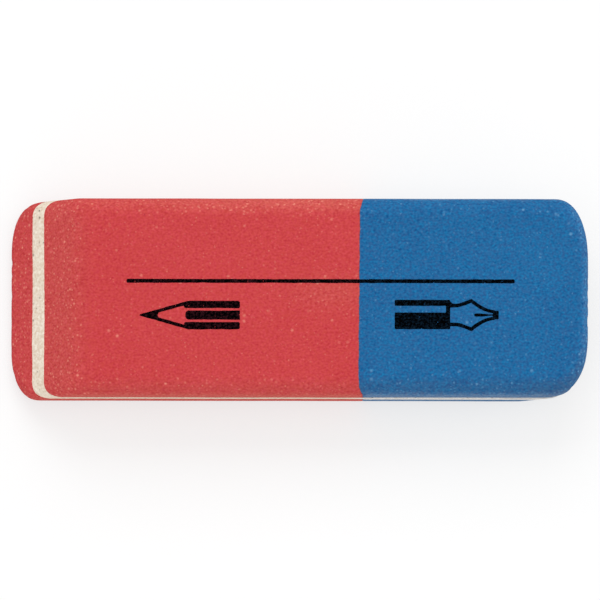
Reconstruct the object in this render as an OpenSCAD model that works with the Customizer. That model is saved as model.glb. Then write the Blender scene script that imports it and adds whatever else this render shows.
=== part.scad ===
// Two-sided eraser: a slanted rubber block with a pale core sheet bonded between two
// coloured layers, and each coloured layer is half red for pencil and half blue for ink.
// The block lies flat with its length along X and the red half towards -X.
// The origin is on the bottom face, under the middle of the block.

/* [Block] */
// Length over the two sharp tips
block_l = 58; // [44:0.5:80]
// Width over the long sides
block_w = 20; // [14:0.5:30]
// Thickness between the two flat faces
block_t = 8; // [6:0.25:12]
// Lean of the cut ends from upright, in degrees
end_lean = 45; // [15:1:50]

/* [Layers] */
// Thickness of the pale core sheet
core_t = 1.2; // [0.6:0.1:2.4]
// Length of the blue half, from the seam to its sharp tip
blue_l = 23; // [14:0.5:36]

/* [Seam between red and blue] */
// Drift of the seam along the length, from the front side to the back side
seam_drift = 0.15; // [0:0.05:0.6]
// How far the seam is dragged into the blue half at the long sides
seam_drag = 0.45; // [0:0.05:0.8]
// Distance from a long side over which the seam is dragged
seam_drag_w = 1.5; // [0.5:0.1:3]

/* [Worn edges] */
// Radius of the two sharp tips
tip_r = 0.9; // [0.4:0.1:1.2]
// Depth of the worn long edges, down the long sides
edge_h = 1.7; // [0.6:0.1:2.4]
// Width of the worn long edges, in from the long sides
edge_w = 2.2; // [0.6:0.1:3]
// Radius of the two blunt end edges
blunt_r = 3; // [0.8:0.1:4]

/* [Worn corners] */
// Corner wear at the sharp red tip, along the length
red_tip_corner_l = 2.9; // [1.5:0.1:5]
// Corner wear at the sharp red tip, across the width
red_tip_corner_w = 5; // [2:0.1:8]
// Corner wear at the sharp blue tip, along the length
blue_tip_corner_l = 3.5; // [1.5:0.1:5]
// Corner wear at the sharp blue tip, across the width
blue_tip_corner_w = 6.2; // [2:0.1:8]
// Height above the flat face at which the wear of a sharp tip has faded out
tip_fade_h = 3; // [2:0.1:4]
// Corner wear on the rest of an end, along the length
end_corner_l = 2; // [0.5:0.1:3]
// Corner wear on the rest of an end, across the width
end_corner_w = 1.7; // [0.5:0.1:4]
// Exponent of the corner curve: 2 is an ellipse, and more is squarer
corner_power = 2.3; // [2:0.1:3]

/* [Hidden] */

// Corner wear [along, across] at each tip, and the most of half the width that a corner takes
red_tip = [red_tip_corner_l, red_tip_corner_w];
blue_tip = [blue_tip_corner_l, blue_tip_corner_w];
corner_share = 0.9;

// Steps along each curve
corner_steps = 12;
tip_steps = 7;
lean_steps = 4;
fade_steps = 5;
seam_steps = 6;

// Heights of the core sheet, depth of the long edges within a coloured layer, and where the seam stands
layer_t = (block_t - core_t) / 2;
edge_d = min(edge_h, layer_t);
core_z0 = layer_t;
core_z1 = layer_t + core_t;
seam_mid_x = block_l / 2 - blue_l;

// The sharp edge at the foot of the red end: its arc touches the bottom face and the leaning end
tip_x = tip_r - block_l / 2;
tip_top_h = tip_r * (1 + sin(end_lean));
foot_x = tip_x - tip_r / tan((90 - end_lean) / 2);

// The blunt edge at the head of the red end: its arc touches the leaning end and the top face
blunt_x = foot_x + (block_t - blunt_r) * tan(end_lean) + blunt_r / cos(end_lean);
blunt_foot_h = block_t - blunt_r * (1 - sin(end_lean));

function mix(a, b, t) = a + (b - a) * t;
function ease(t) = let (s = min(max(t, 0), 1)) s * s * (3 - 2 * s);

// X of the red end at height h, round its sharp edge, up its lean and round its blunt edge.
// The blue end is the same curve, turned half round.
function red_end_x(h) =
    h < tip_top_h ? tip_x - sqrt(max(0, pow(tip_r, 2) - pow(h - tip_r, 2)))
    : h < blunt_foot_h ? foot_x + h * tan(end_lean)
    : blunt_x - sqrt(max(0, pow(blunt_r, 2) - pow(h - block_t + blunt_r, 2)));

// Half the width at height h, with an elliptical rounding along each long edge
function half_width(h) =
    let (rise = min(h, block_t - h, edge_d) / edge_d)
    block_w / 2 - edge_w * (1 - sqrt(1 - pow(1 - rise, 2)));

// Corner size [along, across] of an end at height h above the flat face that its sharp tip is on
function corner_size(h, tip) =
    let (
        fade = ease((h - tip_r) / (tip_fade_h - tip_r)),
        across = mix(tip.y, end_corner_w, fade)
    ) [mix(tip.x, end_corner_l, fade), min(across, corner_share * half_width(h))];

// One end's points from its front corner to its back corner. out is -1 for red and 1 for blue.
function end_points(x, half, corner, out) =
    let (
        bend = 2 / corner_power,
        turns = [for (i = [0:corner_steps]) 90 * i / corner_steps],
        front = [for (a = turns) [
            x - out * corner.x * (1 - pow(sin(a), bend)),
            corner.y * (1 - pow(cos(a), bend)) - half
        ]],
        back = [for (i = [corner_steps:-1:0]) [front[i].x, -front[i].y]]
    ) concat(front, back);

function reversed(list) = [for (i = [len(list) - 1:-1:0]) list[i]];

// Closed outline of the block at height h, anticlockwise from above, starting at the blue end
function outline(h) =
    let (
        half = half_width(h),
        blue = end_points(-red_end_x(block_t - h), half, corner_size(block_t - h, blue_tip), 1),
        red = end_points(red_end_x(h), half, corner_size(h, red_tip), -1)
    ) [for (p = concat(blue, reversed(red))) [p.x, p.y, h]];

// Heights of the outlines that a coloured layer is lofted through, from its flat face to the core
layer_heights = concat(
    [for (i = [0:tip_steps]) tip_r * (1 - cos(90 * i / tip_steps))],
    [for (i = [1:lean_steps]) tip_r * (1 + sin(end_lean * i / lean_steps))],
    [for (i = [1:fade_steps]) mix(tip_top_h, layer_t, i / fade_steps)]
);

// Solid through the block's outlines at these rising heights
module loft(heights) {
    rings = [for (h = heights) outline(h)];
    n = len(rings[0]);
    top = len(rings) - 1;
    walls = [
        for (k = [0:top - 1], i = [0:n - 1])
            let (a = k * n + i, b = k * n + (i + 1) % n)
            each [[a, a + n, b + n], [a, b + n, b]]
    ];
    floor_face = [for (i = [0:n - 1]) i];
    top_face = [for (i = [n - 1:-1:0]) top * n + i];
    polyhedron([for (ring = rings) each ring], concat([floor_face], walls, [top_face]));
}

module lower_layer() loft(layer_heights);

module upper_layer() loft([for (h = reversed(layer_heights)) block_t - h]);

// X of the seam at a distance y from the middle of the width
function seam_x(y) =
    let (drag = max(0, abs(y) - block_w / 2 + seam_drag_w) / seam_drag_w)
    seam_mid_x + seam_drift * y / block_w + seam_drag * pow(drag, 2);

// Everything on the blue side of the seam
module blue_side() {
    straight = block_w / 2 - seam_drag_w;
    ends = [for (i = [0:seam_steps]) straight + seam_drag_w * i / seam_steps];
    ys = concat([for (y = reversed(ends)) -y], ends);
    seam = [for (y = ys) [seam_x(y), y]];
    linear_extrude(block_t) polygon(concat(seam, [[block_l, block_w / 2], [block_l, -block_w / 2]]));
}

module red_upper_layer() color("#CA4649") difference() {
    upper_layer();
    blue_side();
}

module blue_upper_layer() color("#26699F") intersection() {
    upper_layer();
    blue_side();
}

module core_sheet() color("#E8DBC7") loft([core_z0, core_z1]);

module red_lower_layer() color("#CA4649") difference() {
    lower_layer();
    blue_side();
}

module blue_lower_layer() color("#26699F") intersection() {
    lower_layer();
    blue_side();
}

red_upper_layer();
blue_upper_layer();
core_sheet();
red_lower_layer();
blue_lower_layer();
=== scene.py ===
# Two-sided eraser: the looks of a slanted red and blue rubber block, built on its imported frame.
# Shapes are worked out in millimetres and become metres when a mesh is made.
import math
import random

import bpy
import numpy as np
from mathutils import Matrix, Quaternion, Vector, noise


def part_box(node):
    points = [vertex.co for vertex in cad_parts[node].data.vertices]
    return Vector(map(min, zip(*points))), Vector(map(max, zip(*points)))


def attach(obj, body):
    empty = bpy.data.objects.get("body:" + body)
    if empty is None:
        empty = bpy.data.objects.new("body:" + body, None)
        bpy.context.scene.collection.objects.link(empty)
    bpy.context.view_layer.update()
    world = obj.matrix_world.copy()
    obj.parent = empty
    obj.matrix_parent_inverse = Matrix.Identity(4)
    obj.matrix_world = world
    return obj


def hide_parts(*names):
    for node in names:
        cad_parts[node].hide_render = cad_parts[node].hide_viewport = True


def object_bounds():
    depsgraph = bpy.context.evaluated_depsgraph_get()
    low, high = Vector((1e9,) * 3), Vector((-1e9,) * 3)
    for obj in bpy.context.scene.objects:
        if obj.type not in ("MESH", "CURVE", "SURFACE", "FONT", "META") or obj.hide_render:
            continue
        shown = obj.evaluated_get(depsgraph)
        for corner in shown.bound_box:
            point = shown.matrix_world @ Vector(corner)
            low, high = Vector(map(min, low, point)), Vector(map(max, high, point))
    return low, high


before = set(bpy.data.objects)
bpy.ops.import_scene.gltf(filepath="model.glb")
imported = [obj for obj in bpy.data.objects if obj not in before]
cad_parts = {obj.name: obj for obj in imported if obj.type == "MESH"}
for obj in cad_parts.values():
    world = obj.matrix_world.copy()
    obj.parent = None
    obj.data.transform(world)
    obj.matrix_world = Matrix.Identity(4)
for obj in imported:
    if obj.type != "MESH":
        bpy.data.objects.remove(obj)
cad_low, cad_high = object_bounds()

MM = 0.001

# Sizes taken from the frame
BLOCK_L, BLOCK_W, BLOCK_T = ((cad_high - cad_low) / MM)[:]
CORE_Z0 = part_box("core_sheet")[0].z / MM
CORE_Z1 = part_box("core_sheet")[1].z / MM

# Shape of the block, as in its solids
END_LEAN = math.radians(45)
TIP_R = 0.9
EDGE_H = 1.7
EDGE_W = 2.2
BLUNT_R = 3.0
RED_TIP_CORNER = (2.9, 5.0)
BLUE_TIP_CORNER = (3.5, 6.2)
TIP_FADE_H = 3.0
END_CORNER = (2.0, 1.7)
CORNER_POWER = 2.3
BLUE_L = 23.0
SEAM_DRIFT = 0.15
# How far the seam is dragged at the front and back sides, and over what width
SEAM_DRAG_FRONT = (0.45, 1.5)
SEAM_DRAG_BACK = (0.33, 1.9)
# Slight sway of the seam: depth and wavelength of each wave
SEAM_SWAY = ((0.022, 3.1), (0.014, 1.27), (0.008, 0.53))

SEAM_MID_X = BLOCK_L / 2 - BLUE_L
TIP_X = TIP_R - BLOCK_L / 2
TIP_TOP_H = TIP_R * (1 + math.sin(END_LEAN))
FOOT_X = TIP_X - TIP_R / math.tan((math.pi / 2 - END_LEAN) / 2)
BLUNT_X = FOOT_X + (BLOCK_T - BLUNT_R) * math.tan(END_LEAN) + BLUNT_R / math.cos(END_LEAN)
BLUNT_FOOT_H = BLOCK_T - BLUNT_R * (1 - math.sin(END_LEAN))

# Spacing of the mesh
CORNER_STEPS = 16
TIP_STEPS = 12
LEAN_STEPS = 6
GRID = 0.18
SEAM_GRID = (0.0, 0.03, 0.07, 0.12, 0.19)
SHARP_ANGLE = math.radians(32)
TOUCH = 1e-6

# Unevenness that pressing, cutting and tumbling leave: depth, size and where the noise starts
LUMP_DEPTH, LUMP_SIZE, LUMP_START = 0.025, 7.0, 3.1
WAVE_DEPTH, WAVE_SIZE, WAVE_START = 0.008, 2.4, 11.7
CHIP_DEPTH, CHIP_SIZE, CHIP_START = 0.012, 0.9, 23.9
EDGE_WAVE_DEPTH = 0.02
SEAM_GROOVE_DEPTH, SEAM_GROOVE_W = 0.025, 0.08
CORE_RISE = 0.01
# How far a normal turns away from the flat faces on the blunt edges, and on the tight ones
EDGE_TURN = (0.08, 0.22)
# How far back the front wall of each layer lies, in the red half and in the blue half
UPPER_SET_BACK = (0.07, 0.1)
CORE_SET_BACK = (0.04, 0.0)
LOWER_SET_BACK = (0.0, 0.0)
SET_BACK_CHANGE_W = 0.6
# How far a normal turns to the front where the front wall starts, and where it is upright
WALL_TURN = (0.6, 1.0)
# Waver of the bonds between the layers: depth and size of each kind
BOND_SWAY = ((0.06, 6.0), (0.03, 0.6))
# How far above and below a bond its waver fades out, and where the noise of each bond starts
BOND_SWAY_REACH = 0.6
BOND_STARTS = ((CORE_Z0, 41.3), (CORE_Z1, 53.9))

# The most worn corner, at the front of the blue tip: centre, radius and depth of what is rubbed off it
WORN_CORNER, WORN_CORNER_R, WORN_CORNER_DEPTH = (27.0, -9.2, 6.5), 3.5, 0.2
DENT_SEED = 7
# Knocks along the long edges: height from a flat face and its spread, distance from the ends,
# radius, and depth as a share of the radius
KNOCK_COUNT = 36
KNOCK_H, KNOCK_H_SPREAD = 0.25, 0.2
KNOCK_END_GAP = 2
KNOCK_R = (0.25, 0.7)
KNOCK_DEPTH = (0.08, 0.2)
# Nicks in the sharp tips: height as a share of the tip's radius, radius, and depth as a share of that
NICK_COUNT = 30
NICK_H = (0.5, 1.5)
NICK_R = (0.25, 0.6)
NICK_DEPTH = (0.06, 0.2)


def mix(a, b, t):
    return a + (b - a) * t


def ease(t):
    s = np.clip(t, 0, 1)
    return s * s * (3 - 2 * s)


def ramp(value, low, high):
    """0 up to low, 1 from high on, and eased between them."""
    return ease((value - low) / (high - low))


def red_end_x(h):
    """X of the red end at height h. The blue end is the same curve, turned half round."""
    if h < TIP_TOP_H:
        return TIP_X - math.sqrt(max(0, TIP_R**2 - (h - TIP_R) ** 2))
    if h < BLUNT_FOOT_H:
        return FOOT_X + h * math.tan(END_LEAN)
    return BLUNT_X - math.sqrt(max(0, BLUNT_R**2 - (h - BLOCK_T + BLUNT_R) ** 2))


def half_width(h):
    rise = min(h, BLOCK_T - h, EDGE_H) / EDGE_H
    return BLOCK_W / 2 - EDGE_W * (1 - math.sqrt(max(0, 1 - (1 - rise) ** 2)))


def corner_size(h, tip):
    """Corner size along and across an end, at height h above the flat face that its sharp tip is on."""
    fade = ramp(h, TIP_R, TIP_FADE_H)
    return mix(tip[0], END_CORNER[0], fade), mix(tip[1], END_CORNER[1], fade)


def seam_x(y):
    x = SEAM_MID_X + SEAM_DRIFT * y / BLOCK_W
    for side, (drag, width) in ((-1, SEAM_DRAG_FRONT), (1, SEAM_DRAG_BACK)):
        x = x + drag * (np.maximum(0, side * y - BLOCK_W / 2 + width) / width) ** 2
    for depth, length in SEAM_SWAY:
        x = x + depth * np.sin(2 * math.pi * y / length)
    return x


def seam_gap(points):
    """Distance of each point from the seam, towards the blue end."""
    return points[:, 0] - seam_x(points[:, 1])


def end_rows(h, out):
    """One end's points at height h, from its front corner to its back corner.

    out is -1 for the red end and 1 for the blue end.
    """
    if out < 0:
        x = red_end_x(h)
        along, across = corner_size(h, RED_TIP_CORNER)
    else:
        x = -red_end_x(BLOCK_T - h)
        along, across = corner_size(BLOCK_T - h, BLUE_TIP_CORNER)
    half = half_width(h)
    turn = np.linspace(0, math.pi / 2, CORNER_STEPS + 1)
    bend = 2 / CORNER_POWER
    corner_x = x - out * along * (1 - np.sin(turn) ** bend)
    corner_y = across * (1 - np.maximum(np.cos(turn), 0) ** bend) - half
    straight_steps = round((BLOCK_W - 2 * END_CORNER[1]) / GRID)
    straight_y = np.linspace(across - half, half - across, straight_steps + 1)[1:-1]
    xs = np.concatenate([corner_x, np.full(len(straight_y), x), corner_x[::-1]])
    ys = np.concatenate([corner_y, straight_y, -corner_y[::-1]])
    return np.column_stack([xs, ys])


def seam_rows(rows):
    return np.column_stack([seam_x(rows[:, 1]), rows[:, 1]])


def layer_heights():
    """Heights of a coloured layer's mesh rings, from its flat face to the core."""
    tip = [TIP_R * (1 - math.cos(math.pi / 2 * i / TIP_STEPS)) for i in range(TIP_STEPS + 1)]
    lean = [TIP_R * (1 + math.sin(END_LEAN * i / LEAN_STEPS)) for i in range(1, LEAN_STEPS + 1)]
    steps = round((CORE_Z0 - TIP_TOP_H) / GRID)
    wall = [mix(TIP_TOP_H, CORE_Z0, i / steps) for i in range(1, steps + 1)]
    return tip + lean + wall


def columns(length, fine_left, fine_right):
    """Shares of the way along a row, closer together where the row ends at the colour seam."""
    fine = [g / length for g in SEAM_GRID]
    left = fine if fine_left else [0.0]
    right = [1 - g for g in reversed(fine)] if fine_right else [1.0]
    steps = round(length / GRID)
    middle = np.linspace(left[-1], right[0], steps + 1)[1:-1]
    return np.concatenate([left, middle, right])


class Lattice:
    """A block of points [level, row, column], of which the mesh takes the outside."""

    def __init__(self, heights, ends, shares):
        levels = []
        for h in heights:
            left, right = ends(h)
            plan = left[:, None, :] + (right - left)[:, None, :] * shares[None, :, None]
            levels.append(np.dstack([plan, np.full(plan.shape[:2], h)]))
        self.points = np.array(levels)

    def sides(self):
        """Grids of point numbers for the six sides, each turned so that its faces point outwards."""
        numbers = np.arange(self.points[..., 0].size).reshape(self.points.shape[:3])
        return {
            "top": numbers[-1],
            "bottom": numbers[0][:, ::-1],
            "front": numbers[:, 0, :],
            "back": numbers[:, -1, ::-1],
            "blue": numbers[:, :, -1],
            "red": numbers[:, ::-1, 0],
        }


def quads(grid):
    return np.stack([grid[:-1, :-1], grid[:-1, 1:], grid[1:, 1:], grid[1:, :-1]], -1).reshape(-1, 4)


def rim(grid):
    """Point numbers round the edge of a grid, in the order of its quads' corners."""
    return np.concatenate([grid[0, :-1], grid[:-1, -1], grid[-1, :0:-1], grid[:0:-1, 0]])


def noise_at(points, size, start):
    """Smooth noise from about -1 to 1, with features of this size."""
    offset = Vector((start, start * 0.7, start * 1.3))
    return np.array([noise.noise(Vector(p) / size + offset) for p in points])


def edge_share(normals):
    """0 on flat faces and on the wide blunt edges, rising to 1 on the tight edges and corners."""
    to_end = normals[:, 0] * math.cos(END_LEAN) - normals[:, 2] * math.sin(END_LEAN)
    flatness = np.maximum.reduce([np.abs(normals[:, 1]), np.abs(normals[:, 2]), np.abs(to_end)])
    return ramp(1 - flatness, *EDGE_TURN)


def make_dents():
    """The worn corner, small knocks along the long edges and nicks in the sharp tips.

    Each is a centre, a radius and a depth.
    """
    draw = random.Random(DENT_SEED)
    dents = [(np.array(WORN_CORNER), WORN_CORNER_R, WORN_CORNER_DEPTH)]
    for _ in range(KNOCK_COUNT):
        h = draw.choice((KNOCK_H, BLOCK_T - KNOCK_H)) + draw.uniform(-KNOCK_H_SPREAD, KNOCK_H_SPREAD)
        low, high = red_end_x(h) + KNOCK_END_GAP, -red_end_x(BLOCK_T - h) - KNOCK_END_GAP
        centre = (draw.uniform(low, high), draw.choice((-1, 1)) * half_width(h), h)
        radius = draw.uniform(*KNOCK_R)
        dents.append((np.array(centre), radius, radius * draw.uniform(*KNOCK_DEPTH)))
    for i in range(NICK_COUNT):
        out = (-1, 1)[i % 2]
        from_tip = TIP_R * draw.uniform(*NICK_H)
        h = from_tip if out < 0 else BLOCK_T - from_tip
        row = end_rows(h, out)
        x, y = row[draw.randrange(len(row))]
        radius = draw.uniform(*NICK_R)
        dents.append((np.array((x, y, h)), radius, radius * draw.uniform(*NICK_DEPTH)))
    return dents


DENTS = make_dents()


def relief(points, normals, set_back=(0.0, 0.0)):
    """How far the worn surface lies below the clean one.

    set_back is how much more that is on the front wall, in the red half and in the blue half.
    """
    edge = edge_share(normals)
    lumps = 0.5 + 0.5 * noise_at(points, LUMP_SIZE, LUMP_START)
    waves = 0.5 + 0.5 * noise_at(points, WAVE_SIZE, WAVE_START)
    chips = 0.5 + 0.5 * noise_at(points, CHIP_SIZE, CHIP_START)
    depth = LUMP_DEPTH * lumps + mix(WAVE_DEPTH, EDGE_WAVE_DEPTH, edge) * waves + CHIP_DEPTH * edge * chips
    for centre, radius, deep in DENTS:
        depth = depth + deep * ease(1 - np.linalg.norm(points - centre, axis=1) / radius)
    gap = seam_gap(points)
    back = mix(*set_back, ramp(gap, -SET_BACK_CHANGE_W / 2, SET_BACK_CHANGE_W / 2))
    depth = depth + back * ramp(-normals[:, 1], *WALL_TURN)
    in_core = (points[:, 2] > CORE_Z0 + TOUCH) & (points[:, 2] < CORE_Z1 - TOUCH)
    groove = SEAM_GROOVE_DEPTH * np.exp(-((gap / SEAM_GROOVE_W) ** 2))
    return np.maximum(0, depth + np.where(in_core, -CORE_RISE, groove))


def bond_sway(points):
    """Shift of each point by the waver of the bonds, along the leaning ends and the long sides."""
    shift = np.zeros(len(points))
    for place, start in BOND_STARTS:
        near = ease(1 - np.abs(points[:, 2] - place) / BOND_SWAY_REACH)
        for depth, size in BOND_SWAY:
            shift += near * depth * noise_at(points * (1, 1, 0), size, start)
    return shift[:, None] * (math.tan(END_LEAN), 0, 1)


# How dusty the long sides, the tips, the leaning ends, the front and back edges, the seam
# and the rubbed patch are, for each colour. The share on the back edge is dust and painted sheen, a paler
# edge where light from behind would catch it
RED_DUST_AND_SHEEN = {"side": 0.9, "tip": 0.1, "end": 0.28, "front": 0.2, "back": 0.58, "seam": 0.6, "patch": 0.3}
BLUE_DUST_AND_SHEEN = {"side": 0.6, "tip": 0.14, "end": 0.22, "front": 0.04, "back": 0.01, "seam": 0.22, "patch": 0.0}
CORE_DUST_AND_SHEEN = {"side": 0.85, "tip": 0.0, "end": 0.0, "front": 0.0, "back": 0.0, "seam": 0.0, "patch": 0.0}

# A pair named TURN gives how far a normal turns where an effect starts and where it is full

# Rubbed patch on the top face beside the seam: its middle, and its reach along and across
PATCH_MIDDLE = (3.4, 0.4)
PATCH_REACH = (4.0, 1.6)
PATCH_TURN = (0.8, 1.0)

# Dust on the long sides: how far a normal turns where it starts, how ragged that border is,
# and how sharply the dust rises at the front and back
SIDE_DUST_FROM = 0.45
SIDE_DUST_RAGGED, SIDE_DUST_RAGGED_SIZE, SIDE_DUST_START = 0.08, 1.2, 31.7
FRONT_DUST_POWER, BACK_DUST_POWER = 2.6, 6.0
# How far a normal turns across where the dust of the front edge, and the dust and painted sheen of the back
# edge, start and are full
EDGE_DUST_AND_SHEEN_TURN = (0.02, 0.62)
# Places along the block between which the dust and painted sheen of the back edge rise from their least
# share to the full one
BACK_DUST_AND_SHEEN_RISE = (-22.0, 2.0)
BACK_DUST_AND_SHEEN_LEAST = 0.5
TIP_DUST_TURN = (0.05, 0.8)
END_DUST_TURN = (0.4, 0.7)
# Distances in from a sharp tip between which the dust of a leaning end fades out on the flat face
END_DUST_REACH = (5.4, 9.0)
# Least share of the dust of a leaning end, and the heights, as shares of the block, between which it rises
END_DUST_LEAST = 0.45
END_DUST_RISE = (0.3, 0.7)


def patch_share(points, normals):
    """1 in the middle of the rubbed patch on the top face, falling to 0 round it."""
    gap = (points[:, :2] - PATCH_MIDDLE) / PATCH_REACH
    return np.exp(-np.sum(gap * gap, axis=1)) * ramp(normals[:, 2], *PATCH_TURN)


def dust_and_sheen_of(points, normals, shares):
    """Share of the most dust that a surface takes, at each point; on the back edge this is dust and painted
    sheen.
    """
    across = np.abs(normals[:, 1])
    in_front = normals[:, 1] < 0
    ragged = SIDE_DUST_RAGGED * noise_at(points, SIDE_DUST_RAGGED_SIZE, SIDE_DUST_START)
    upright = np.clip((across - SIDE_DUST_FROM + ragged) / (1 - SIDE_DUST_FROM), 0, 1)
    side = shares["side"] * upright ** np.where(in_front, FRONT_DUST_POWER, BACK_DUST_POWER)
    # The back edge: dust and a painted sheen, paler where light from behind would catch it
    back = shares["back"] * mix(BACK_DUST_AND_SHEEN_LEAST, 1, ramp(points[:, 0], *BACK_DUST_AND_SHEEN_RISE))
    edge = np.where(in_front, shares["front"], back) * ramp(across, *EDGE_DUST_AND_SHEEN_TURN)
    # Height above the flat face of the nearer sharp tip, and how far a surface faces away from that face
    near_red = points[:, 0] < 0
    from_tip = np.where(near_red, points[:, 2], BLOCK_T - points[:, 2])
    away = np.where(near_red, normals[:, 2], -normals[:, 2])
    in_from_tip = BLOCK_L / 2 - np.abs(points[:, 0])
    on_end = ramp(away, *END_DUST_TURN) * (1 - ramp(in_from_tip, *END_DUST_REACH))
    tip = shares["tip"] * ramp(np.abs(normals[:, 0]), *TIP_DUST_TURN) * (1 - on_end)
    end = shares["end"] * on_end * mix(END_DUST_LEAST, 1, ramp(from_tip / BLOCK_T, *END_DUST_RISE))
    patch = shares["patch"] * patch_share(points, normals)
    seam = shares["seam"] * np.exp(-((seam_gap(points) / SEAM_GROOVE_W) ** 2))
    return np.clip(np.maximum.reduce([side, edge, tip, end, patch]) + seam, 0, 1)


# How much coarser the grain shows on the ends, along the front and back edges and on the rubbed patch
RED_WEAR = {"end": 1.1, "front": 0.2, "back": 0.85, "patch": 0.9}
BLUE_WEAR = {"end": 1.2, "front": 0.4, "back": 0.1, "patch": 0.0}
CORE_WEAR = {"end": 0.5, "front": 0.2, "back": 0.2, "patch": 0.0}
END_WEAR_TURN = (0.1, 0.5)
EDGE_WEAR_TURN = (0.02, 0.52)


def wear_of(points, normals, shares):
    """Share of wear at each point: none on the flat faces apart from the patch, and most on the ends."""
    end = shares["end"] * ramp(np.abs(normals[:, 0]), *END_WEAR_TURN)
    edge = np.where(normals[:, 1] < 0, shares["front"], shares["back"])
    edge = edge * ramp(np.abs(normals[:, 1]), *EDGE_WEAR_TURN)
    return np.maximum.reduce([end, edge, shares["patch"] * patch_share(points, normals)])


# Share of painted shade along the front edge, for each colour: a darker, greyer band where less light
# reaches the rounding
RED_PAINTED_SHADE, BLUE_PAINTED_SHADE, CORE_PAINTED_SHADE = 0.0, 0.1, 0.0
# How far a normal turns to the front where the painted shade rises, and where it ends on the wall
PAINTED_SHADE_RISE_TURN = (0.02, 0.37)
PAINTED_SHADE_END_TURN = (0.78, 0.98)
# How many times as much more painted shade there is round the most worn corner, and how far from it that
# reaches
CORNER_PAINTED_SHADE, CORNER_PAINTED_SHADE_REACH = 1.5, 6.0
CORNER_PAINTED_SHADE_TURN = (0.05, 0.55)


def painted_shade_of(points, normals, share):
    """Share of painted shade at each point: on the rounded front edge, not on its wall, and on the worn
    corner.
    """
    edge = ramp(-normals[:, 1], *PAINTED_SHADE_RISE_TURN) * (1 - ramp(-normals[:, 1], *PAINTED_SHADE_END_TURN))
    near = ease(1 - np.linalg.norm(points - WORN_CORNER, axis=1) / CORNER_PAINTED_SHADE_REACH)
    turned = ramp(np.hypot(normals[:, 0], normals[:, 1]), *CORNER_PAINTED_SHADE_TURN)
    return share * (edge + CORNER_PAINTED_SHADE * near * turned)


def mesh_object(name, points, faces, smooth=True):
    mesh = bpy.data.meshes.new(name)
    mesh.from_pydata((points * MM).tolist(), [], faces)
    mesh.validate()
    mesh.polygons.foreach_set("use_smooth", [smooth] * len(mesh.polygons))
    made = bpy.data.objects.new(name, mesh)
    bpy.context.scene.collection.objects.link(made)
    return made


def rubber_piece(name, node, finish, lattice, open_sides, set_back):
    """A worn rubber piece from a lattice. Besides its long sides, open_sides are open to view."""
    slot, material, dust_and_sheen_shares, wear_shares, painted_shade_share = finish
    shown = (*open_sides, "front", "back")
    sides = lattice.sides()
    points = lattice.points.reshape(-1, 3)
    seen = np.concatenate([quads(sides[s]) for s in shown])
    bonded_flat = [rim(sides[s]) for s in ("top", "bottom") if s not in shown]
    bonded_ends = [quads(sides[s]) for s in ("red", "blue") if s not in shown]

    crossed = np.cross(points[seen[:, 2]] - points[seen[:, 0]], points[seen[:, 3]] - points[seen[:, 1]])
    normals = np.zeros_like(points)
    for corner in range(4):
        np.add.at(normals, seen[:, corner], crossed)
    used = np.unique(seen)
    normals[used] /= np.linalg.norm(normals[used], axis=1, keepdims=True)

    # Points on a bonded face move only within it, so that neighbours stay flush
    push = normals.copy()
    for ring in bonded_flat:
        flat = push[ring] * (1, 1, 0)
        push[ring] = flat / np.sum(flat * flat, axis=1, keepdims=True)
    clean, facing = points[used], normals[used]
    # The mesh keeps dust (with painted sheen on the back edge), wear and painted shade for its material
    surface = {
        "dust_and_sheen": dust_and_sheen_of(clean, facing, dust_and_sheen_shares),
        "wear": wear_of(clean, facing, wear_shares),
        "painted_shade": painted_shade_of(clean, facing, painted_shade_share),
    }
    points[used] -= push[used] * relief(clean, facing, set_back)[:, None]
    points[used] += bond_sway(points[used])

    kept = np.unique(np.concatenate([seen, *bonded_ends]))
    number = np.full(len(points), -1)
    number[kept] = np.arange(len(kept))
    faces = number[seen].tolist() + [number[ring].tolist() for ring in bonded_flat]
    for end in bonded_ends:
        faces += number[end].tolist()
    piece = mesh_object(name, points[kept], faces)
    piece.data.set_sharp_from_angle(angle=SHARP_ANGLE)
    for key, shares in surface.items():
        values = np.zeros(len(points), np.float32)
        values[used] = shares
        piece.data.attributes.new(key, "FLOAT", "POINT").data.foreach_set("value", values[kept])
    piece.data.materials.append(material)
    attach(piece, "root")
    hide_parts(node)


# Materials


def add(tree, kind, inputs=(), **settings):
    """A shader node with its settings and inputs. An input is a value, or a socket to link."""
    made = tree.nodes.new("ShaderNode" + kind)
    for key, value in settings.items():
        setattr(made, key, value)
    for key, value in dict(inputs).items():
        if isinstance(value, bpy.types.NodeSocket):
            tree.links.new(value, made.inputs[key])
        else:
            made.inputs[key].default_value = value
    return made


def math_node(tree, operation, a, b=0.0):
    return add(tree, "Math", {0: a, 1: b}, operation=operation).outputs[0]


def vector_node(tree, operation, a, b):
    return add(tree, "VectorMath", {0: a, 1: b}, operation=operation).outputs[0]


def weighted(tree, *terms):
    """Sum of values, each times its weight."""
    total = 0.0
    for value, weight in terms:
        total = math_node(tree, "ADD", total, math_node(tree, "MULTIPLY", value, weight))
    return total


def remap(tree, value, low, high, to_low=0.0, to_high=1.0):
    inputs = {"Value": value, "From Min": low, "From Max": high, "To Min": to_low, "To Max": to_high}
    return add(tree, "MapRange", inputs).outputs["Result"]


def spread(tree, share, low, high):
    """From low to high as a share goes from 0 to 1."""
    return remap(tree, share, 0.0, 1.0, low, high)


def mix_colour(tree, share, a, b):
    return add(tree, "Mix", {0: share, 6: a, 7: b}, data_type="RGBA").outputs[2]


def mix_value(tree, share, a, b):
    return add(tree, "Mix", {0: share, 2: a, 3: b}, data_type="FLOAT").outputs[0]


def surface_share(tree, name):
    """What the mesh says of its dust and painted sheen, its wear and its painted shade."""
    return add(tree, "Attribute", attribute_name=name).outputs["Fac"]


# Range of values that most of a noise texture falls in, and how rough it is
NOISE_RANGE = (0.28, 0.72)
NOISE_ROUGHNESS = 0.55
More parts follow.
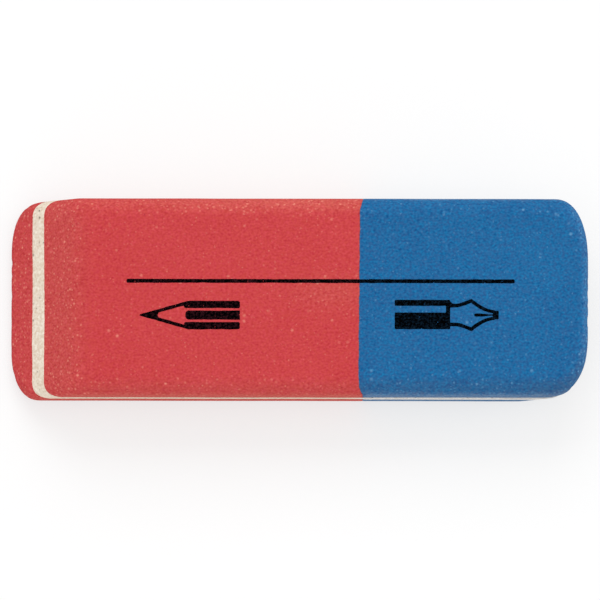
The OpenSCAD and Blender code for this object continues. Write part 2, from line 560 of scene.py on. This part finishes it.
# Flecks: least and most size, share of the radius that is solid, and least strength
FLECK_SIZES = (0.6, 1.2)
FLECK_SOLID = 0.2
FLECK_LEAST = 0.25


def grain(tree, where, size_mm, detail=2.0):
    """Noise with features of this size, spread over 0 to 1."""
    inputs = {"Vector": where, "Scale": 1 / (size_mm * MM), "Detail": detail, "Roughness": NOISE_ROUGHNESS}
    return remap(tree, add(tree, "TexNoise", inputs).outputs[0], *NOISE_RANGE)


def shaken(tree, where, size_mm, amount_mm):
    """The same places, moved about a little, so that what is drawn on them is ragged."""
    inputs = {"Vector": where, "Scale": 1 / (size_mm * MM), "Detail": 1.0}
    noisy = add(tree, "TexNoise", inputs).outputs["Color"]
    centred = vector_node(tree, "SUBTRACT", noisy, (0.5, 0.5, 0.5))
    shift = add(tree, "VectorMath", {0: centred, "Scale": amount_mm * MM}, operation="SCALE").outputs[0]
    return vector_node(tree, "ADD", where, shift)


def specks(tree, where, cell_mm, radius_mm, share):
    """Soft flecks of uneven size and strength, one in a share of the cells of this size."""
    cells = add(tree, "TexVoronoi", {"Vector": where, "Scale": 1 / (cell_mm * MM), "Randomness": 1.0})
    chance, strength, size = add(tree, "SeparateColor", {0: cells.outputs["Color"]}).outputs
    reach = spread(tree, size, *(s * radius_mm / cell_mm for s in FLECK_SIZES))
    spot = remap(tree, math_node(tree, "DIVIDE", cells.outputs["Distance"], reach), 1.0, FLECK_SOLID)
    picked = math_node(tree, "LESS_THAN", chance, share)
    strong = math_node(tree, "MULTIPLY", picked, spread(tree, strength, FLECK_LEAST, 1.0))
    return math_node(tree, "MULTIPLY", strong, spot)


def srgb(*levels):
    """A colour as it looks on screen, red, green and blue from 0 to 255, for a shader socket."""
    shares = [level / 255 for level in levels]
    return (*(s / 12.92 if s <= 0.04045 else ((s + 0.055) / 1.055) ** 2.4 for s in shares), 1.0)


# Sizes of the slow colour changes, and the weights of the fine grain, the mottle and the clouds
CLOUD_MM, MOTTLE_MM = 5.0, 0.5
GRAIN_WEIGHT, MOTTLE_WEIGHT, CLOUD_WEIGHT = 0.6, 0.26, 0.14
# The grain is drawn out a little along the block, and the streaks of dust up its walls
GRAIN_DRAWN = (0.82, 1, 1)
STREAK_DRAWN = (1, 1, 0.35)
FINE_DETAIL = 0.6
STREAK_MM, STREAK_DETAIL = 0.26, 1.0
STREAK_WEIGHT, DUST_GRAIN_WEIGHT = 0.55, 0.45
UNEVEN_RANGE = (0.15, 0.85)
# How much livelier the grain is on worn places
LIVELY = 1.3
# A second colour, in grain that lies elsewhere: its offset, its size in grains and its most share
TINGE_OFFSET = (0.31, 0.17, 0.23)
TINGE_GRAINS = 1.3
TINGE_MOST = 0.5
# Half the width over which the dust of the core changes at the seam
DUST_CHANGE_HALF = 0.6
# Colour of the painted shade on the front edge and round the worn corner, and how unevenly it is laid on
PAINTED_SHADE_COLOUR = srgb(70, 58, 56)
PAINTED_SHADE_SPREAD = (0.5, 1.5)
# Flecks: how ragged they are, then cell and radius of the faint and the clear ones, and cell of the pits
RAGGED_SIZE, RAGGED_SHIFT = 0.15, 0.14
FAINT_CELL, FAINT_R = 0.36, 0.15
CLEAR_CELL, CLEAR_R = 0.8, 0.19
PIT_CELL = 0.6
# Faint flecks come in patches of this size, with these shares of the usual number
PATCHY_MM, PATCHY_SHARES = 1.6, (0.2, 1.4)
CLEAR_SHARES = (0.5, 1.5)
# Strength of flecks on sound and on worn rubber
FAINT_STRENGTH = (0.46, 0.8)
CLEAR_STRENGTH = (0.75, 1.0)
# There are twice as many pits where dust or wear has this share
PIT_FULL = 0.5
ROUGH_SPREAD = 0.06
RUBBER_SPECULAR = 0.12
BUMP_STRENGTH, BUMP_MM = 0.4, 0.015
MOTTLE_HEIGHT, PIT_HEIGHT = 0.8, -1.5


def rubber(name, dark, light, tinge, grain_mm, dust_and_sheen, most_dust_and_sheen, dust_and_sheen_spread, pale_fleck, pale_share,
           dark_fleck, dark_share, dark_r, rough, blue_half_dust=None):
    """Matt filled rubber: grainy colour with flecks of filler, pale dust where it is rubbed, a painted
    sheen of the same pale colour on the back edge, and painted shade along the front edge and round the
    worn corner.
    """
    material = bpy.data.materials.new(name)
    material.use_nodes = True
    tree = material.node_tree
    shader = tree.nodes["Principled BSDF"]
    where = add(tree, "TexCoord").outputs["Object"]
    dust_and_sheen_share, worn, shade_share = (surface_share(tree, key) for key in ("dust_and_sheen", "wear", "painted_shade"))
    cloud = grain(tree, where, CLOUD_MM)
    mottle = grain(tree, where, MOTTLE_MM)
    fine = grain(tree, vector_node(tree, "MULTIPLY", where, GRAIN_DRAWN), grain_mm, FINE_DETAIL)

    tone = weighted(tree, (fine, GRAIN_WEIGHT), (mottle, MOTTLE_WEIGHT), (cloud, CLOUD_WEIGHT))
    contrast = math_node(tree, "SUBTRACT", tone, 0.5)
    contrast = math_node(tree, "MULTIPLY", contrast, spread(tree, worn, 1.0, LIVELY))
    colour = mix_colour(tree, math_node(tree, "ADD", contrast, 0.5), dark, light)
    aside = vector_node(tree, "ADD", where, TINGE_OFFSET)
    tinged = spread(tree, grain(tree, aside, TINGE_GRAINS * grain_mm, FINE_DETAIL), 0.0, TINGE_MOST)
    colour = mix_colour(tree, tinged, colour, tinge)

    streaks = grain(tree, vector_node(tree, "MULTIPLY", where, STREAK_DRAWN), STREAK_MM, STREAK_DETAIL)
    uneven = weighted(tree, (streaks, STREAK_WEIGHT), (fine, DUST_GRAIN_WEIGHT))
    # Pale dust mixed over the colour, and on the back edge a painted sheen in the same colour
    least, most = (1 - dust_and_sheen_spread) * most_dust_and_sheen, (1 + dust_and_sheen_spread) * most_dust_and_sheen
    dust_and_sheen_amount = math_node(tree, "MULTIPLY", dust_and_sheen_share, remap(tree, uneven, *UNEVEN_RANGE, least, most))
    if blue_half_dust:
        along = add(tree, "SeparateXYZ", {0: where}).outputs["X"]
        change = (SEAM_MID_X - DUST_CHANGE_HALF) * MM, (SEAM_MID_X + DUST_CHANGE_HALF) * MM
        dust_and_sheen = mix_colour(tree, remap(tree, along, *change), dust_and_sheen, blue_half_dust)
    colour = mix_colour(tree, dust_and_sheen_amount, colour, dust_and_sheen)
    # Painted shade along the front edge and round the worn corner
    shade_amount = math_node(tree, "MULTIPLY", shade_share, remap(tree, uneven, *UNEVEN_RANGE, *PAINTED_SHADE_SPREAD))
    colour = mix_colour(tree, shade_amount, colour, PAINTED_SHADE_COLOUR)

    ragged = shaken(tree, where, RAGGED_SIZE, RAGGED_SHIFT)
    patchy = spread(tree, grain(tree, aside, PATCHY_MM), *(s * pale_share for s in PATCHY_SHARES))
    exposed = math_node(tree, "MULTIPLY", math_node(tree, "ADD", dust_and_sheen_share, worn), pale_share)
    faint = specks(tree, ragged, FAINT_CELL, FAINT_R, math_node(tree, "ADD", patchy, exposed))
    faint = math_node(tree, "MULTIPLY", faint, spread(tree, worn, *FAINT_STRENGTH))
    colour = mix_colour(tree, faint, colour, pale_fleck)
    clear_share = spread(tree, worn, *(s * pale_share for s in CLEAR_SHARES))
    clear = specks(tree, ragged, CLEAR_CELL, CLEAR_R, clear_share)
    clear = math_node(tree, "MULTIPLY", clear, spread(tree, worn, *CLEAR_STRENGTH))
    colour = mix_colour(tree, clear, colour, pale_fleck)
    tired = math_node(tree, "MAXIMUM", dust_and_sheen_share, worn)
    pit_share = remap(tree, tired, 0.0, PIT_FULL, dark_share, 2 * dark_share)
    pits = specks(tree, ragged, PIT_CELL, dark_r, pit_share)
    colour = mix_colour(tree, pits, colour, dark_fleck)
    tree.links.new(colour, shader.inputs["Base Color"])

    matt = spread(tree, fine, rough - ROUGH_SPREAD, rough + ROUGH_SPREAD)
    tree.links.new(matt, shader.inputs["Roughness"])
    shader.inputs["Specular IOR Level"].default_value = RUBBER_SPECULAR
    height = weighted(tree, (fine, 1.0), (mottle, MOTTLE_HEIGHT), (pits, PIT_HEIGHT))
    bump = add(tree, "Bump", {"Strength": BUMP_STRENGTH, "Distance": BUMP_MM * MM, "Height": height})
    tree.links.new(bump.outputs["Normal"], shader.inputs["Normal"])
    return material


def red_rubber():
    return rubber(
        "red_rubber",
        dark=srgb(182, 41, 51),
        light=srgb(217, 80, 87),
        tinge=srgb(204, 74, 64),
        grain_mm=0.21,
        dust_and_sheen=srgb(238, 214, 168),
        most_dust_and_sheen=0.10,
        dust_and_sheen_spread=0.5,
        pale_fleck=srgb(240, 146, 128),
        pale_share=0.34,
        dark_fleck=srgb(150, 45, 52),
        dark_share=0.06,
        dark_r=0.09,
        rough=0.84,
    )


def blue_rubber():
    return rubber(
        "blue_rubber",
        dark=srgb(0, 71, 129),
        light=srgb(30, 127, 182),
        tinge=srgb(58, 96, 147),
        grain_mm=0.21,
        dust_and_sheen=srgb(238, 232, 214),
        most_dust_and_sheen=0.2,
        dust_and_sheen_spread=0.6,
        pale_fleck=srgb(112, 164, 204),
        pale_share=0.34,
        dark_fleck=srgb(20, 52, 96),
        dark_share=0.1,
        dark_r=0.09,
        rough=0.88,
    )


def core_rubber():
    return rubber(
        "core_rubber",
        dark=srgb(216, 192, 168),
        light=srgb(255, 246, 230),
        tinge=srgb(232, 217, 198),
        grain_mm=0.26,
        dust_and_sheen=srgb(246, 220, 200),
        blue_half_dust=srgb(254, 253, 250),
        most_dust_and_sheen=0.8,
        dust_and_sheen_spread=0.3,
        pale_fleck=srgb(252, 246, 236),
        pale_share=0.2,
        dark_fleck=srgb(64, 54, 48),
        dark_share=0.25,
        dark_r=0.16,
        rough=0.85,
    )


INK_BLACK = srgb(0, 0, 1)
# Colours of thin ink, where red or blue rubber shows through it
THIN_ON_RED, THIN_ON_BLUE = srgb(52, 22, 28), srgb(14, 31, 46)
THIN_MM, THIN_RANGE = 0.18, (0.4, 1.0)
INK_ROUGH = (0.7, 0.85)
INK_SPECULAR = 0.01


def print_ink():
    """Black ink, thinner here and there over the grain, where the colour of the rubber shows through."""
    material = bpy.data.materials.new("print_ink")
    material.use_nodes = True
    tree = material.node_tree
    shader = tree.nodes["Principled BSDF"]
    where = add(tree, "TexCoord").outputs["Object"]
    thin = remap(tree, grain(tree, where, THIN_MM), *THIN_RANGE)
    along = add(tree, "SeparateXYZ", {0: where}).outputs["X"]
    on_blue = math_node(tree, "GREATER_THAN", along, SEAM_MID_X * MM)
    showing = mix_colour(tree, on_blue, THIN_ON_RED, THIN_ON_BLUE)
    tree.links.new(mix_colour(tree, thin, INK_BLACK, showing), shader.inputs["Base Color"])
    tree.links.new(spread(tree, thin, *INK_ROUGH), shader.inputs["Roughness"])
    shader.inputs["Specular IOR Level"].default_value = INK_SPECULAR
    return material


# Rubber pieces

# Slot, material, and shares of dust and painted sheen, wear and painted shade of each colour
RED = ("red_rubber", red_rubber(), RED_DUST_AND_SHEEN, RED_WEAR, RED_PAINTED_SHADE)
BLUE = ("blue_rubber", blue_rubber(), BLUE_DUST_AND_SHEEN, BLUE_WEAR, BLUE_PAINTED_SHADE)
CORE = ("core_rubber", core_rubber(), CORE_DUST_AND_SHEEN, CORE_WEAR, CORE_PAINTED_SHADE)
INK = print_ink()

lower_heights = layer_heights()
upper_heights = [BLOCK_T - h for h in reversed(lower_heights)]
core_steps = max(2, round((CORE_Z1 - CORE_Z0) / GRID))
core_heights = np.linspace(CORE_Z0, CORE_Z1, core_steps + 1)


def red_ends(h):
    rows = end_rows(h, -1)
    return rows, seam_rows(rows)


def blue_ends(h):
    rows = end_rows(h, 1)
    return seam_rows(rows), rows


def core_ends(h):
    return end_rows(h, -1), end_rows(h, 1)


red_columns = columns(SEAM_MID_X + BLOCK_L / 2, False, True)
blue_columns = columns(BLUE_L, True, False)
core_columns = columns(BLOCK_L, False, False)

red_upper = Lattice(upper_heights, red_ends, red_columns)
blue_upper = Lattice(upper_heights, blue_ends, blue_columns)
core = Lattice(core_heights, core_ends, core_columns)
red_lower = Lattice(lower_heights, red_ends, red_columns)
blue_lower = Lattice(lower_heights, blue_ends, blue_columns)

rubber_piece("red_upper_rubber", "red_upper_layer", RED, red_upper, ("top", "red"), UPPER_SET_BACK)
rubber_piece("blue_upper_rubber", "blue_upper_layer", BLUE, blue_upper, ("top", "blue"), UPPER_SET_BACK)
rubber_piece("core_rubber_sheet", "core_sheet", CORE, core, ("red", "blue"), CORE_SET_BACK)
rubber_piece("red_lower_rubber", "red_lower_layer", RED, red_lower, ("bottom", "red"), LOWER_SET_BACK)
rubber_piece("blue_lower_rubber", "blue_lower_layer", BLUE, blue_lower, ("bottom", "blue"), LOWER_SET_BACK)

# Print on the top face. Each figure is a field that is negative where there is ink.

PRINT_STEP = 0.05
PRINT_SEED = 5
INK_LIFT, INK_FILM = 0.003, 0.006
RULE_L, RULE_W, RULE_ROUND = 38.95, 0.385, 0.1


def box_field(x, y, x0, x1, y0, y1, round_r=0.0):
    """Distance outside a box with rounded corners, negative inside."""
    dx = np.maximum(x0 - x, x - x1) + round_r
    dy = np.maximum(y0 - y, y - y1) + round_r
    return np.hypot(np.maximum(dx, 0), np.maximum(dy, 0)) + np.minimum(np.maximum(dx, dy), 0) - round_r


def join(*fields):
    return np.minimum.reduce(fields)


def shared(*fields):
    return np.maximum.reduce(fields)


def rule_figure(x, y):
    return box_field(x, y, 0, RULE_L, -RULE_W / 2, RULE_W / 2, RULE_ROUND)


def pencil_figure(x, y):
    """A pencil with its point at x = 0: the lead, the cone in outline and a barrel of three facets."""
    half, stroke, gap = 1.44, 0.34, 0.235
    apex_x, slope, lead_l = -0.22, 0.2827, 1.92
    lead_bulge, lead_bulge_half = 0.4, 0.3
    barrel_x, middle_x, length = 4.45, 4.58, 10.05
    cone_overlap, facet_half = 0.2, 0.46
    outer_round, middle_round, middle_past = 0.2, 0.36, 0.3
    cone_side = (np.abs(y) - (x - apex_x) * slope) / math.hypot(1, slope)
    stroke_side = np.abs(cone_side + stroke / 2) - stroke / 2
    outline = shared(stroke_side, -x, x - barrel_x - cone_overlap)
    lead_end = x - lead_l + lead_bulge * np.maximum(0, lead_bulge_half - np.abs(y))
    lead = shared(cone_side, -x, lead_end)
    outer = box_field(x, np.abs(y), barrel_x, length, facet_half + gap, half, outer_round)
    middle = box_field(x, y, middle_x, length + middle_past, -facet_half, facet_half, middle_round)
    return join(outline, lead, shared(outer, cone_side), shared(middle, x - length))


def nib_figure(x, y):
    """A pen with its point at the far end: a holder with a bare gleam, and a nib in outline with a slit."""
    stroke, point_stroke = 0.38, 0.31
    holder_l, holder_low, holder_high, holder_round = 5.56, -1.43, 1.52, 0.12
    gleam_start, gleam_end, gleam_low, gleam_high = -1, 0.42, 0.24, 0.92
    neck_x, neck_half, neck_overlap = 6.25, 0.95, 0.1
    shoulder_x, shoulder_half = 7.68, 1.43
    rise_power, fall_power, taper_from = 1.25, 1.75, 2 / 7
    point_x, point_half = 10.0, 0.34
    tip_x0, tip_x1, tip_half, tip_round = 9.84, 10.43, 0.42, 0.1
    slit_x, slit_half, slit_end_half = 7.97, 0.155, 0.05
    bevel_x, bevel_l, bevel_drop = 5.34, 0.46, 0.36
    rise = np.clip((x - neck_x) / (shoulder_x - neck_x), 0, 1) ** rise_power
    fall = np.clip((point_x - x) / (point_x - shoulder_x), 0, 1) ** fall_power
    rising, falling = mix(neck_half, shoulder_half, rise), mix(point_half, shoulder_half, fall)
    profile = np.where(x < shoulder_x, rising, falling)
    slope = np.gradient(profile, PRINT_STEP, axis=1)
    side = (np.abs(y) - profile) / np.hypot(1, slope)
    taper = ramp(x, mix(shoulder_x, point_x, taper_from), point_x)
    stroke_side = np.abs(side) - mix(stroke, point_stroke, taper) / 2
    outline = shared(stroke_side, holder_l - neck_overlap - x, x - point_x)
    point = box_field(x, y, tip_x0, tip_x1, -tip_half, tip_half, tip_round)
    slit = shared(np.abs(y) - mix(slit_half, slit_end_half, taper), slit_x - x, x - point_x)
    above = (y - holder_high) * bevel_l + (x - bevel_x) * bevel_drop
    above = above / math.hypot(bevel_l, bevel_drop)
    bevel = shared(above, bevel_x - x, x - bevel_x - bevel_l, neck_half - y)
    holder = box_field(x, y, 0, holder_l, holder_low, holder_high, holder_round)
    gleam = box_field(x, y, gleam_start, holder_l - gleam_end, gleam_low, gleam_high, holder_round)
    return join(shared(holder, -gleam), bevel, outline, point, slit)


# Each figure with its near end, its middle line and its reach along and across
FIGURES = (
    ("printed_rule", rule_figure, (-17.35, 1.505), (RULE_L, 0.5)),
    ("printed_pencil", pencil_figure, (-16.02, -1.945), (10.2, 3.2)),
    ("printed_nib", nib_figure, (9.57, -1.895), (10.5, 3.6)),
)
# Bare rubber worked out round a figure, along and across
PRINT_MARGIN = (0.3, 0.2)
# Uneven edges of the ink, and a sway along the block: depth, size and where the noise starts
FRAY_COARSE = (0.025, 0.7, 2.3)
FRAY_FINE = (0.012, 0.25, 7.9)
FRAY_SWAY = (0.02, 2.5, 4.4)
PINHOLES_PER_MM2 = 0.9
PINHOLE_R = (0.02, 0.05)


def frayed(field, x, y, draw):
    """The same figure with uneven edges and a few pinholes, as ink takes on rubber."""
    places = np.column_stack([x.ravel(), y.ravel(), np.zeros(x.size)])
    uneven = np.zeros(x.size)
    for depth, size, start in (FRAY_COARSE, FRAY_FINE):
        uneven += depth * noise_at(places, size, start)
    depth, size, start = FRAY_SWAY
    uneven += depth * noise_at(places * (1, 0, 1), size, start)
    field = field + uneven.reshape(x.shape)
    for _ in range(round(x.size * PRINT_STEP**2 * PINHOLES_PER_MM2)):
        centre_x, centre_y = draw.uniform(x.min(), x.max()), draw.uniform(y.min(), y.max())
        field = np.maximum(field, draw.uniform(*PINHOLE_R) - np.hypot(x - centre_x, y - centre_y))
    return field


def filled_cells(field):
    """Points, as grid places, and faces of the area where the field is negative."""
    rows, cols = field.shape
    places, faces, seen = [], [], {}

    def number(key, row, col):
        if key not in seen:
            seen[key] = len(places)
            places.append((row, col))
        return seen[key]

    for r in range(rows - 1):
        for c in range(cols - 1):
            ring = ((r, c), (r, c + 1), (r + 1, c + 1), (r + 1, c))
            values = [field[k] for k in ring]
            if min(values) >= 0:
                continue
            face = []
            for k in range(4):
                here, there = ring[k], ring[(k + 1) % 4]
                a, b = values[k], values[(k + 1) % 4]
                if a < 0:
                    face.append(number(here, *here))
                if (a < 0) != (b < 0):
                    t = a / (a - b)
                    key = (min(here, there), max(here, there))
                    face.append(number(key, mix(here[0], there[0], t), mix(here[1], there[1], t)))
            faces.append(face)
    return np.array(places), faces


def printed(name, figure, start, reach, draw):
    """A thin film of ink that lies on the worn top face."""
    xs = np.arange(-PRINT_MARGIN[0], reach[0] + PRINT_MARGIN[0], PRINT_STEP)
    ys = np.arange(-reach[1] / 2 - PRINT_MARGIN[1], reach[1] / 2 + PRINT_MARGIN[1], PRINT_STEP)
    x, y = np.meshgrid(xs, ys)
    places, faces = filled_cells(frayed(figure(x, y), x, y, draw))
    flat = np.column_stack([
        start[0] + xs[0] + places[:, 1] * PRINT_STEP,
        start[1] + ys[0] + places[:, 0] * PRINT_STEP,
        np.full(len(places), BLOCK_T),
    ])
    up = np.tile((0.0, 0.0, 1.0), (len(flat), 1))
    flat[:, 2] += INK_LIFT - relief(flat, up)
    film = mesh_object(name, flat, faces, smooth=False)
    film.data.materials.append(INK)
    solid = film.modifiers.new("film", "SOLIDIFY")
    solid.thickness = INK_FILM * MM
    solid.offset = 1
    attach(film, "root")


print_draw = random.Random(PRINT_SEED)
for figure_name, figure, start, reach in FIGURES:
    printed(figure_name, figure, start, reach, print_draw)

# Floor, light and camera

FLOOR_HALF = 3.0
FLOOR_GREY = 0.36
FLOOR_GLOW = 0.64
LIGHT_SHARE = 0.7
WHITE = (1, 1, 1, 1)
# Soft lights, aimed at the block: place and size in metres, and watts
SOFTBOXES = (
    ("key", (-0.05, 0.65, 0.6), (0.7, 0.5), 3.35),
    ("front_fill", (-0.1, -0.8, 0.09), (0.8, 0.15), 2.0),
    ("red_end_fill", (-0.8, 0.1, 0.12), (0.6, 0.2), 0.55),
    ("blue_end_fill", (0.8, 0.1, 0.12), (0.6, 0.2), 2.4),
)

PHOTO_SIDE_PX = 600
PX_PER_MM = 9.95
VIEW_ELEVATION = math.radians(84.3)
VIEW_ROLL = math.radians(0.1)
# Where the view is aimed, along and across from the middle of the block, in millimetres
AIM = (0.06, -0.01)
LENS, SENSOR = 1500.0, 36.0
CLIP_START, CLIP_END = 0.01, 20


def seen_ray(tree):
    """1 for rays that show the background: straight from the camera, mirrored or through glass."""
    path = add(tree, "LightPath")
    share = math_node(tree, "MAXIMUM", path.outputs["Is Camera Ray"], path.outputs["Is Glossy Ray"])
    return math_node(tree, "MAXIMUM", share, path.outputs["Is Transmission Ray"])


def make_floor():
    half = FLOOR_HALF / MM
    corners = np.array([(-half, -half, 0), (half, -half, 0), (half, half, 0), (-half, half, 0)], float)
    floor = mesh_object("floor", corners, [[0, 1, 2, 3]])
    material = bpy.data.materials.new("white_floor")
    material.use_nodes = True
    tree = material.node_tree
    tree.nodes.remove(tree.nodes["Principled BSDF"])
    paper = add(tree, "BsdfDiffuse", {"Color": (FLOOR_GREY, FLOOR_GREY, FLOOR_GREY, 1)})
    strength = math_node(tree, "MULTIPLY", seen_ray(tree), FLOOR_GLOW)
    glow = add(tree, "Emission", {"Color": WHITE, "Strength": strength})
    both = add(tree, "AddShader", {0: paper.outputs[0], 1: glow.outputs[0]})
    tree.links.new(both.outputs[0], tree.nodes["Material Output"].inputs["Surface"])
    floor.data.materials.append(material)


def make_world():
    world = bpy.data.worlds.new("studio")
    bpy.context.scene.world = world
    world.use_nodes = True
    tree = world.node_tree
    background = tree.nodes["Background"]
    background.inputs["Color"].default_value = WHITE
    strength = mix_value(tree, seen_ray(tree), LIGHT_SHARE, 1.0)
    tree.links.new(strength, background.inputs["Strength"])


def softbox(name, place, size, watts):
    data = bpy.data.lights.new(name, "AREA")
    data.shape = "RECTANGLE"
    data.size, data.size_y = size
    data.energy = watts
    lamp = bpy.data.objects.new(name, data)
    lamp.location = place
    lamp.rotation_euler = (-Vector(place)).to_track_quat("-Z", "Y").to_euler()
    lamp.visible_camera = False
    bpy.context.scene.collection.objects.link(lamp)


def make_camera():
    data = bpy.data.cameras.new("camera")
    data.lens = LENS
    data.sensor_width = SENSOR
    data.clip_start, data.clip_end = CLIP_START, CLIP_END
    camera = bpy.data.objects.new("camera", data)
    aim = (cad_low + cad_high) / 2 + Vector((*AIM, 0)) * MM
    view_w = PHOTO_SIDE_PX / PX_PER_MM * MM
    back = Vector((0, -math.cos(VIEW_ELEVATION), math.sin(VIEW_ELEVATION)))
    camera.location = aim + back * view_w * LENS / SENSOR
    upright = (-back).to_track_quat("-Z", "Y")
    camera.rotation_euler = (upright @ Quaternion((0, 0, 1), VIEW_ROLL)).to_euler()
    bpy.context.scene.collection.objects.link(camera)
    bpy.context.scene.camera = camera


make_floor()
make_world()
for light in SOFTBOXES:
    softbox(*light)
make_camera()
bpy.context.scene.view_settings.view_transform = "Standard"

bpy.context.view_layer.update()
